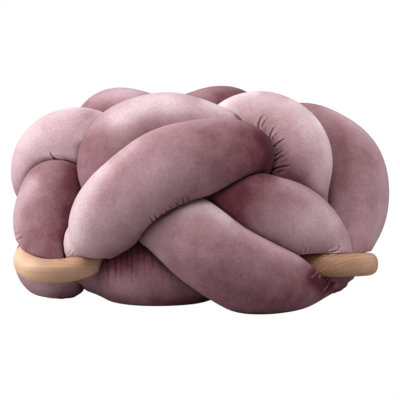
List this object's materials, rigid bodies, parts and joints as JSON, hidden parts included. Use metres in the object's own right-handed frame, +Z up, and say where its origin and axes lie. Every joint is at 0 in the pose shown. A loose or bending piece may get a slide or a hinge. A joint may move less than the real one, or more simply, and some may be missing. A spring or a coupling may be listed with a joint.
{
  "type": "knot ottoman",
  "caption": "Round low ottoman plaited from thick stuffed velvet tubes, gripped near the floor by wooden rings; a soft floor seat or footrest.",
  "frame": {"origin": "middle of the footprint on the floor", "axes": "+Z up, -Y towards the picture's viewer, +X to that viewer's right"},
  "size_m": [0.701, 0.7002, 0.3711],
  "materials": {
    "velvet": "short-pile velvet in dusty plum",
    "wood": "sanded and matt oiled, fine straight grain"
  },
  "bodies": {
    "root": {"knotted_tubes": "velvet", "wooden_ring_left": "wood", "wooden_ring_right": "wood", "wooden_ring_back": "wood"}
  },
  "joints": []
}
